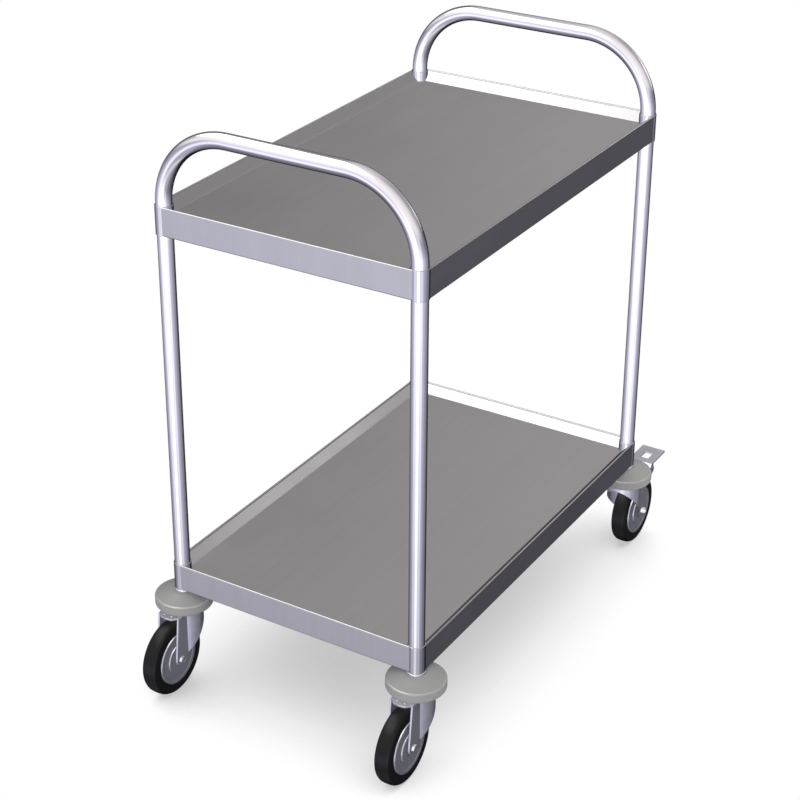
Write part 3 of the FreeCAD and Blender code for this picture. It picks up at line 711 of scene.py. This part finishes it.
def makeBumper(corner, spec):
    node = f"bumper_{corner}"
    tall = heightOf(node)
    bore, recess, outside = spec["bore"], spec["recess"], spec["outside"]
    profile, _ = roundPath([
        (bore, spec["recessDepth"], spec["boreBreak"]), (recess, spec["recessDepth"], spec["recessRound"]),
        (recess, 0, spec["recessBreak"]), (outside, 0, spec["foot"]), (outside, spec["edge"], spec["shoulder"]),
        (spec["crown"], tall, spec["crownRound"]), (bore, tall, spec["boreBreak"]),
    ], steps=8)
    disc = addPiece(f"bumper_disc_{corner}", turned(profile, steps=128), bumperFinish, "cart_frame", [node], "bumper",
                    at=standOn(node))
    disc.data.materials.append(knockedFinish)
    steep, gentle = spec["knocked"]
    for face in disc.data.polygons:
        onShoulder = face.center.xy.length * perMetre > outside - spec["shoulder"]
        if onShoulder and steep < face.normal.z < gentle:
            face.material_index = 1


stemTurn = {
    "king": 5.0, "kingChamfer": 0.8, "spigot": 8.0, "spigotRun": 22.4, "spigotBreak": 0.3, "flange": 14.3,
    "flangeThick": 2.5, "flangeBreaks": (0.4, 0.7), "plug": 10.95, "plugLength": 60.0, "plugChamfer": 1.5,
}


def makeStem(corner, spec):
    node = f"caster_stem_{corner}"
    tall = heightOf(node)
    king, spigot, flange, plug = spec["king"], spec["spigot"], spec["flange"], spec["plug"]
    tubeFoot = tall - spec["plugLength"]
    flangeFoot = tubeFoot - spec["flangeThick"]
    spigotFoot = flangeFoot - spec["spigotRun"]
    lowBreak, highBreak = spec["flangeBreaks"]
    profile, _ = roundPath([
        (king - spec["kingChamfer"], 0), (king, spec["kingChamfer"]), (king, spigotFoot),
        (spigot, spigotFoot, spec["spigotBreak"]), (spigot, flangeFoot),
        (flange, flangeFoot, lowBreak), (flange, tubeFoot, highBreak),
        (plug, tubeFoot), (plug, tall - spec["plugChamfer"]), (plug - spec["plugChamfer"], tall),
    ], closed=False, steps=4)
    addPiece(f"stem_{corner}", turned(profile, loop=False), boltFinish, "cart_frame", [node], "stem",
             at=standOn(node))


for corner in cornerNames:
    for level in ("upper", "lower"):
        makeCollar(level, corner, collarTurn)
    makeBumper(corner, bumperTurn)
    makeStem(corner, stemTurn)
print("collars, bumpers and stems turned")


# caster forks: pressed sheet, a round skirt running into two flat legs
forkPress = {
    "sheet": 3.0, "top": 140.5, "bend": 3.0, "bendSteps": 6, "hole": 5.05,
    "skirt": 29.6, "skirtSteps": 24, "frontDrop": 11.5,
    "leg": 19.9, "legEnd": 43.0, "legRows": (26.0, 29.0), "crease": 0.6,
    "axle": (40.0, 62.5), "tip": 11.5, "tipSteps": 6, "tipParts": (0.4, 0.7, 0.9, 1.0),
    "lipEnd": 51.0, "lipCrest": 0.55, "lipDrop": 1.1, "lipShoulder": 0.62, "lipRounds": (3.0, 9.0),
    "seat": (24.0, 25.5), "seatRise": 2.5, "seatBreak": 0.4,
    "dimple": 2.25, "dimpleRise": 1.2, "dimpleAt": (6.75, 43.0), "dimpleSteps": 20,
    "dimpleDome": ((1.0, -0.3), (1.0, 0.25), (0.92, 0.6), (0.75, 0.85), (0.45, 0.97), (0.12, 1.0)),
}


def tangentPoint(spot, centre, radius):
    # where a line from the spot touches the circle, with the circle on its left
    arm = Vector(centre) - Vector(spot)
    angle = math.atan2(arm.y, arm.x) - math.asin(radius / arm.length)
    return Vector(centre) + Vector((math.sin(angle), -math.cos(angle))) * radius


def forkEdges(spec):
    # side view: the leg's lower and upper edge over y, where the tip's round begins, and its centre
    front = Vector((-spec["skirt"], spec["top"] - spec["frontDrop"]))
    back = Vector((spec["legEnd"], spec["top"] - spec["bend"]))
    centre = Vector(spec["axle"])
    touch = tangentPoint(front, centre, spec["tip"])
    mirrored = tangentPoint((-back.x, back.y), (-centre.x, centre.y), spec["tip"])
    leave = Vector((-mirrored.x, mirrored.y))

    def onLine(y, start, end):
        return start.y + (end.y - start.y) * (y - start.x) / (end.x - start.x)

    def onTip(y):
        return math.sqrt(max(spec["tip"] ** 2 - (y - centre.x) ** 2, 0.0))

    def lowEdge(y):
        return onLine(y, front, touch) if y <= touch.x else centre.y - onTip(y)

    def highEdge(y):
        if y <= spec["legEnd"]:
            return spec["top"] - spec["bend"]
        return onLine(y, back, leave) if y <= leave.x else centre.y + onTip(y)

    return lowEdge, highEdge, touch, centre


def forkPlan(spec, touch, centre):
    # right half of the plan, from the skirt's front to the end of the leg: x, y and outward normal
    radius, leg, legEnd = spec["skirt"], spec["leg"], spec["legEnd"]
    meet = math.sqrt(radius ** 2 - leg ** 2)
    sweep = math.atan2(meet, leg) + math.pi / 2
    plan = []
    for step in range(spec["skirtSteps"] + 1):
        angle = -math.pi / 2 + sweep * step / spec["skirtSteps"]
        plan.append((radius * math.cos(angle), radius * math.sin(angle), math.cos(angle), math.sin(angle)))
    lean = Vector((plan[-1][2] + 1, plan[-1][3])).normalized()
    plan[-1] = (leg, meet, lean.x, lean.y)
    rows = [meet + spec["crease"], *spec["legRows"], touch.x]
    rows += [touch.x + (centre.x - touch.x) * step / spec["tipSteps"] for step in range(1, spec["tipSteps"] + 1)]
    rows += [(centre.x + legEnd) / 2, legEnd]
    rows += [legEnd + (centre.x + spec["tip"] - legEnd) * part for part in spec["tipParts"]]
    return plan + [(leg, y, 1.0, 0.0) for y in rows]


def forkColumns(spec, addVert):
    # upright rows of vertices in both skins; up to the leg's end they bend over into the top plate
    lowEdge, highEdge, touch, centre = forkEdges(spec)
    plan = forkPlan(spec, touch, centre)
    mirrored = [(-x, y, -nx, ny) for x, y, nx, ny in plan[:0:-1]]
    columns = []
    for x, y, nx, ny in mirrored + plan:
        column = {"bent": y <= spec["legEnd"] + 1e-6}
        for skin, depth in (("outer", 0.0), ("inner", spec["sheet"])):
            px, py = x - nx * depth, y - ny * depth
            column[skin] = [addVert(px, py, lowEdge(y)), addVert(px, py, highEdge(y))]
            if not column["bent"]:
                continue
            turn = spec["bend"] - depth
            for step in range(1, spec["bendSteps"] + 1):
                angle = math.pi / 2 * step / spec["bendSteps"]
                inward = depth + turn * (1 - math.cos(angle))
                z = spec["top"] - spec["bend"] + turn * math.sin(angle)
                column[skin].append(addVert(x - nx * inward, y - ny * inward, z))
        columns.append(column)
    return columns


def forkWalls(columns, bent):
    # skirt and legs with their lower and upper edges, then the cut ends of the bend
    faces = []
    for one, two in zip(columns, columns[1:]):
        for skin in ("outer", "inner"):
            for i in range(min(len(one[skin]), len(two[skin])) - 1):
                faces.append((one[skin][i], two[skin][i], two[skin][i + 1], one[skin][i + 1]))
        faces.append((one["outer"][0], one["inner"][0], two["inner"][0], two["outer"][0]))
        if not (one["bent"] and two["bent"]):
            faces.append((one["outer"][1], one["inner"][1], two["inner"][1], two["outer"][1]))
    for column in (bent[0], bent[-1]):
        outer, inner = column["outer"], column["inner"]
        for i in range(1, len(outer) - 1):
            faces.append((outer[i], outer[i + 1], inner[i + 1], inner[i]))
    return faces


def forkTop(spec, bent, verts, addVert):
    # top plate: the bend's inner loop, closed by the bowed lip, then rings in to the king pin hole
    top, under = spec["top"], spec["top"] - spec["sheet"]
    half = spec["leg"] - spec["bend"]
    shoulder = half * spec["lipShoulder"]
    shoulderY, crestY = spec["lipEnd"] - spec["lipDrop"], spec["lipEnd"] + spec["lipCrest"]
    shoulderRound, crestRound = spec["lipRounds"]
    lip, _ = roundPath([
        (half, spec["legEnd"]), (shoulder, shoulderY, shoulderRound), (0, crestY, crestRound),
        (-shoulder, shoulderY, shoulderRound), (-half, spec["legEnd"]),
    ], closed=False)
    rim = {skin: [column[skin][-1] for column in bent] for skin in ("outer", "inner")}
    for spot in lip[1:-1]:
        rim["outer"].append(addVert(spot.x, spot.y, top))
        rim["inner"].append(addVert(spot.x, spot.y, under))
    faces = bridge(rim["outer"], rim["inner"])[len(bent) - 1:]
    inside, outside = spec["seat"]
    crest, corner = top + spec["seatRise"], spec["seatBreak"]
    ring = rim["outer"]
    for reach, z in ((outside, top), (outside, crest - corner), (outside - corner, crest), (inside + corner, crest),
                     (inside, crest - corner), (inside, top), (spec["hole"], top), (spec["hole"], under)):
        onward = []
        for index in rim["outer"]:
            x, y, _ = verts[index]
            length = math.hypot(x, y)
            onward.append(addVert(x * reach / length, y * reach / length, z))
        faces += bridge(ring, onward)
        ring = onward
    return faces + bridge(ring, rim["inner"])


def forkDimple(spec, side):
    # a pressed dimple on the lip
    x, y = spec["dimpleAt"]
    profile = [(spec["dimple"] * reach, spec["top"] + spec["dimpleRise"] * rise) for reach, rise in spec["dimpleDome"]]
    spots, patches = turned(profile, loop=False, steps=spec["dimpleSteps"])
    return [(side * x + a, y + b, z) for a, b, z in spots], patches


def makeForkShape(spec):
    verts = []

    def addVert(x, y, z):
        verts.append((x, y, z))
        return len(verts) - 1

    columns = forkColumns(spec, addVert)
    bent = [column for column in columns if column["bent"]]
    faces = forkWalls(columns, bent) + forkTop(spec, bent, verts, addVert)
    for side in (-1, 1):
        spots, patches = forkDimple(spec, side)
        base = len(verts)
        verts += spots
        faces += [tuple(base + i for i in patch) for patch in patches]
    return verts, faces


def headingOf(corner):
    return 180.0 if corner.startswith("front") else 0.0


forkShape = makeForkShape(forkPress)
for corner in cornerNames:
    at = nodeMiddle(f"caster_stem_{corner}")
    addPiece(f"fork_press_{corner}", forkShape, forkFinish, f"caster_{corner}", [f"fork_{corner}"], "fork_steel",
             at=(at.x, at.y, 0), heading=headingOf(corner), soften=0.35)
print("forks pressed")


# wheels: tyre, moulded centre, axle bolt and nut
tyreMould = {
    "seat": 43.25, "seatSide": 12.0, "seatBreak": 0.5, "lip": (46.0, 0.5), "side": 12.8, "sideFoot": (47.4, 1.0),
    "shoulder": 60.9, "shoulderRound": 4.0, "step": 0.9, "stepRound": 0.5,
    "tread": 8.25, "treadEdge": 61.8, "treadRound": 0.7, "crown": 62.5, "crownRows": (7.0, 5.0, 2.5),
}
centreMould = {
    "bore": 6.05, "boss": (15.5, 25.0), "bossRound": 0.5, "bossFoot": (0.3, 0.4), "web": 13.5, "webRound": 1.0,
    "rim": (14.0, 38.0), "rimFoot": 1.5, "rimRound": 1.0, "outside": 43.2, "edgeRound": 0.45,
}
axleBolt = {
    "flats": 11.0, "head": 4.2, "shank": 4.0, "leg": 19.9, "nut": 7.0, "end": 1.5, "play": 0.05,
    "face": 0.49,                   # radius of the flat face, in widths across flats
    "fall": 0.6,                    # how steeply the corners fall away from it
    "dish": (0.28, 0.33, 0.38),     # ring pressed into the head, in the same widths
    "dishDepth": 0.25, "tipChamfer": (1.0, 0.8), "nutChamfer": 0.9,
}


def bothSides(half):
    # the half profile (x, radius, rounding) and its mirror
    return half + [(-x, *rest) for x, *rest in reversed(half)]


def wheelTurned(half, steps):
    profile, _ = roundPath(bothSides(half), steps=steps)
    return turned([(spot.y, spot.x) for spot in profile], steps=128, axis="X")


def makeTyreShape(spec):
    side, tread, seatSide = spec["side"], spec["tread"], spec["seatSide"]
    crown = [(x, spec["crown"] - (spec["crown"] - spec["treadEdge"]) * (x / tread) ** 2) for x in spec["crownRows"]]
    return wheelTurned([
        (seatSide - spec["seatBreak"], spec["seat"]), (seatSide, spec["seat"] + spec["seatBreak"]),
        (seatSide, *spec["lip"]), (side, *spec["sideFoot"]), (side, spec["shoulder"], spec["shoulderRound"]),
        (tread + spec["step"], spec["shoulder"], spec["stepRound"]), (tread, spec["treadEdge"], spec["treadRound"]),
    ] + crown, steps=7)


def makeCentreShape(spec):
    bossX, bossR = spec["boss"]
    rimX, rimR = spec["rim"]
    footRun, footRound = spec["bossFoot"]
    return wheelTurned([
        (bossX, spec["bore"], spec["bossRound"]), (bossX, bossR, spec["bossRound"]),
        (spec["web"], bossR + footRun, footRound), (spec["web"], rimR - spec["rimFoot"], spec["webRound"]),
        (rimX, rimR, spec["rimRound"]), (rimX, spec["outside"], spec["edgeRound"]),
    ], steps=5)


def hexRing(x, flats, cut=math.inf, steps=48):
    # a ring across X: a hexagon, or a circle where it is cut down to a radius
    ring = []
    for step in range(steps):
        angle = 2 * math.pi * step / steps
        reach = min(flats / 2 / math.cos(angle % (math.pi / 3) - math.pi / 6), cut)
        ring.append((x, reach * math.cos(angle), reach * math.sin(angle)))
    return ring


def hexCrown(x, flats, face, fall):
    # the hexagon's chamfered face: its corners fall away from the flat
    return [(x - fall * max(math.hypot(y, z) - face, 0.0), y, z) for _, y, z in hexRing(x, flats)]


def roundRing(x, radius, steps=48):
    return [(x, y, z) for y, z in circle(radius, steps)]


def makeBoltShape(spec):
    flats, shank = spec["flats"], spec["shank"]
    face = flats * spec["face"]
    foot = -spec["leg"]
    top = foot - spec["head"]
    tip = spec["leg"] + spec["nut"] + spec["end"]
    chamferRun, chamferCut = spec["tipChamfer"]
    inner, deep, outer = (flats * share for share in spec["dish"])
    return ringStack([
        roundRing(top, inner), roundRing(top + spec["dishDepth"], deep), roundRing(top, outer),
        hexRing(top, flats, face), hexCrown(top, flats, face, -spec["fall"]), hexRing(foot, flats),
        roundRing(foot, shank), roundRing(tip - chamferRun, shank), roundRing(tip, shank - chamferCut),
    ])


def makeNutShape(spec):
    flats, bore = spec["flats"], spec["shank"] + spec["play"]
    face = flats * spec["face"]
    foot, top = spec["leg"], spec["leg"] + spec["nut"]
    return ringStack([
        roundRing(foot, bore), hexRing(foot, flats), hexCrown(top, flats, face, spec["fall"]),
        hexRing(top, flats, face), roundRing(top, bore + spec["nutChamfer"]), roundRing(top - spec["nutChamfer"], bore),
    ], loop=True)


wheelShapes = [     # piece, shape, finish, body, node, slot, sharpest angle left smooth
    ("tyre_ring", makeTyreShape(tyreMould), rubberFinish, "wheel", "tyre", "tyre", 50),
    ("wheel_moulding", makeCentreShape(centreMould), wheelFinish, "wheel", "wheel_centre", "wheel_centre", 50),
    ("bolt", makeBoltShape(axleBolt), boltFinish, "caster", "axle_bolt", "fastener", 25),
    ("nut", makeNutShape(axleBolt), boltFinish, "caster", "axle_nut", "fastener", 25),
]
for corner in cornerNames:
    at = nodeMiddle(f"tyre_{corner}")
    for piece, shape, finish, body, node, slot, sharp in wheelShapes:
        addPiece(f"{piece}_{corner}", shape, finish, f"{body}_{corner}", [f"{node}_{corner}"], slot, at=at,
                 heading=headingOf(corner) if body == "caster" else 0.0, sharp=sharp)
print("wheels assembled")


# CAD nodes that stay, with their finish and softened edges
keptNodes = {
    "upper_races": (bearingFinish, 0.2),
    "king_nuts": (boltFinish, 0.3),
    "swivel_balls": (bearingFinish, 0),
    "axle_sleeve": (bearingFinish, 0.2),
    "brake_lever": (leverFinish, 0.2),
    "brake_shoe": (rubberFinish, 0.5),
    "brake_pin": (boltFinish, 0.3),
}
dressing = {"weld": 0.00001, "plainAngle": 0.5, "softAngle": 40}


def dressNode(node, finish, edge, spec):
    for slot in node.material_slots:
        slot.material = finish
    node.visible_glossy = False
    if not edge:
        return
    weld = node.modifiers.new("weld", "WELD")
    weld.merge_threshold = spec["weld"]
    plain = node.modifiers.new("plainFaces", "DECIMATE")
    plain.decimate_type = "DISSOLVE"
    plain.angle_limit = math.radians(spec["plainAngle"])
    softenEdges(node, edge, spec["softAngle"])
    flattenFaces(node, False)


for name, node in nodes.items():
    for start, (finish, edge) in keptNodes.items():
        if name.startswith(start):
            dressNode(node, finish, edge, dressing)
print("kept nodes dressed")


# studio: pale floor, white surroundings for the camera, a toned room for the metal to mirror, and soft boxes
studio = {
    "floorSize": 15.0,
    "floorAlbedo": (0.80, 0.80, 0.81, 1),
    "floorShade": (0.54, 1.0),      # what the camera sees, from deep under the cart to open floor
    "shadeSpan": (0.28, 0.69),
    "shadeReach": 0.8,
    "shadeSamples": 32,
    "skyDiffuse": 0.53,
    "brightSide": (0.21, -0.98, 0.0),      # metal finds the room brightest towards the front
    "lowRoom": [    # below the horizon: how far round to the bright side, level, blue cast
        (-1.0, 0.04, 0.12), (-0.94, 0.02, 0.14), (-0.86, 0.07, 0.18), (-0.76, 0.085, 0.18), (-0.64, 0.15, 0.17),
        (-0.48, 0.28, 0.16), (-0.19, 0.30, 0.15), (0.21, 0.48, 0.16), (0.50, 0.58, 0.18), (0.60, 0.72, 0.19),
        (0.70, 1.07, 0.20), (0.90, 0.98, 0.10), (0.955, 1.08, 0.05), (1.0, 1.90, 0.0),
    ],
    "lowGain": 1.9,
    "lowFade": [    # and by height: how far up, level, blue cast
        (-1.0, 0.50, 0.0), (-0.64, 0.50, 0.0), (-0.40, 1.38, 0.0), (-0.30, 1.38, 0.0), (-0.05, 0.88, 0.0),
        (1.0, 0.88, 0.0),
    ],
    "fadeGain": 1.38,
    "highRoom": (1.12, 0.54),       # above the horizon, from front to back
    "highSpan": (-0.8, 0.7),
    "highAcross": [     # and at the back from left to right: how far along X, level, blue cast
        (-1.0, 0.38, 0.0), (-0.60, 0.38, 0.0), (-0.36, 1.32, 0.0), (-0.05, 1.25, 0.0), (0.25, 0.80, 0.0),
        (1.0, 0.80, 0.0),
    ],
    "highGain": 1.4,
    "highFront": 1.12,      # the same at the front, where it doesn't vary
    "backSpan": (-0.1, 0.4),
    "highTint": (1.0, 0.955, 0.96, 1),
    "horizon": (0.06, 0.24),
    "greenTrim": 0.993,
}
softBoxes = {       # the metal and the paint each have their own
    "metal": {
        "overheadBox": {"place": (-1.10, -0.55, 2.35), "aim": (-0.30, 0, 0.6), "size": (2.8, 1.3), "power": 26.0},
        "rearBox": {"place": (0.62, 1.15, 1.10), "aim": (-0.22, 0, 0.2), "size": (0.8, 0.5), "power": 1.1},
    },
    "paint": {
        "keyBox": {"place": (0.30, -2.80, 1.70), "aim": (0, 0, 0.4), "size": (2.2, 1.5), "power": 22.0},
        "sideBox": {"place": (1.60, 1.20, 1.20), "aim": (0.22, 0.43, 0.15), "size": (0.8, 0.6), "power": 9.5},
    },
}


def makeFloor(spec):
    size = spec["floorSize"]
    mesh = bpy.data.meshes.new("studioFloor")
    mesh.from_pydata([(-size, -size, 0), (size, -size, 0), (size, size, 0), (-size, size, 0)], [], [(0, 1, 2, 3)])
    floor = bpy.data.objects.new("studioFloor", mesh)
    scene.collection.objects.link(floor)
    floor.visible_glossy = False        # metal sees the room below the horizon instead
    finish, tree, _ = newFinish("studioFloor")
    tree.nodes.clear()
    out = addNode(tree, "OutputMaterial")
    rays = addNode(tree, "LightPath")
    matt = addNode(tree, "BsdfDiffuse", Color=spec["floorAlbedo"])
    cover = addNode(tree, "AmbientOcclusion", samples=spec["shadeSamples"], Distance=spec["shadeReach"])
    white = addNode(tree, "Emission")
    join(spread(cover.outputs["AO"], *spec["floorShade"], *spec["shadeSpan"]), white.inputs["Strength"])
    byCamera = choose(rays.outputs["Is Camera Ray"], matt, white)
    join(byCamera.outputs[0], out.inputs[0])
    mesh.materials.append(finish)


def roomRamp(source, stops, gain, trim):
    # a ramp over -1 to 1, its levels scaled by the gain so that none passes 1
    ramp = addNode(source.id_data, "ValToRGB")
    marks = ramp.color_ramp.elements
    while len(marks) < len(stops):
        marks.new(0.5)
    for mark, (turn, tone, blue) in zip(marks, stops):
        mark.position = (turn + 1) / 2
        tone /= gain
        mark.color = (tone, tone * trim, tone * (1 + blue), 1)
    join(spread(source, 0.0, 1.0, -1.0, 1.0), ramp.inputs["Fac"])
    return ramp.outputs["Color"]


def makeLowRoom(tree, spec, view, way):
    plan = vector2("MULTIPLY", view, (1, 1, 0))["Vector"]
    heading = vector2("NORMALIZE", plan)["Vector"]
    facing = vector2("DOT_PRODUCT", heading, spec["brightSide"])["Value"]
    low = addNode(tree, "Background")
    tone = roomRamp(facing, spec["lowRoom"], spec["lowGain"], spec["greenTrim"])
    fade = roomRamp(way["Z"], spec["lowFade"], spec["fadeGain"], spec["greenTrim"])
    join(tone, low.inputs["Color"])
    join(math2("MULTIPLY", fade, spec["lowGain"] * spec["fadeGain"]), low.inputs["Strength"])
    return low


def makeHighRoom(tree, spec, way):
    high = addNode(tree, "Background", Color=spec["highTint"])
    along = spread(way["Y"], *spec["highRoom"], *spec["highSpan"])
    across = roomRamp(way["X"], spec["highAcross"], spec["highGain"], spec["greenTrim"])
    byBack = addNode(tree, "Mix")
    join(spread(way["Y"], 0.0, 1.0, *spec["backSpan"]), byBack.inputs["Factor"])
    byBack.inputs["A"].default_value = spec["highFront"]
    join(math2("MULTIPLY", across, spec["highGain"]), byBack.inputs["B"])
    join(math2("MULTIPLY", along, byBack.outputs["Result"]), high.inputs["Strength"])
    return high


def makeSurroundings(spec):
    world = bpy.data.worlds.new("studio")
    scene.world = world
    world.use_nodes = True
    tree = world.node_tree
    tree.nodes.clear()
    out = addNode(tree, "OutputWorld")
    rays = addNode(tree, "LightPath").outputs
    view = addNode(tree, "TexCoord").outputs["Generated"]
    split = addNode(tree, "SeparateXYZ")
    join(view, split.inputs[0])
    way = split.outputs
    low = makeLowRoom(tree, spec, view, way)
    high = makeHighRoom(tree, spec, way)
    room = choose(spread(way["Z"], 0.0, 1.0, *spec["horizon"]), low, high)
    sky = addNode(tree, "Background", Color=(1, 1, 1, 1), Strength=spec["skyDiffuse"])
    white = addNode(tree, "Background", Color=(1, 1, 1, 1), Strength=1.0)
    shiny = math2("MAXIMUM", rays["Is Glossy Ray"], rays["Is Transmission Ray"])
    byGloss = choose(shiny, sky, room)
    byCamera = choose(rays["Is Camera Ray"], byGloss, white)
    join(byCamera.outputs[0], out.inputs[0])


def makeSoftBox(name, spec, lights):
    data = bpy.data.lights.new(name, "AREA")
    data.shape = "RECTANGLE"
    data.size, data.size_y = spec["size"]
    data.energy = spec["power"]
    lamp = bpy.data.objects.new(name, data)
    lamp.location = spec["place"]
    aim = Vector(spec["aim"]) - Vector(spec["place"])
    lamp.rotation_euler = aim.to_track_quat("-Z", "Y").to_euler()
    lamp.visible_camera = False
    lamp.visible_diffuse = lights == "paint"
    lamp.visible_glossy = lights == "metal"
    scene.collection.objects.link(lamp)


makeFloor(studio)
makeSurroundings(studio)
for lights, boxes in softBoxes.items():
    for name, spec in boxes.items():
        makeSoftBox(name, spec, lights)
scene.view_settings.view_transform = "Standard"
print("studio lit")
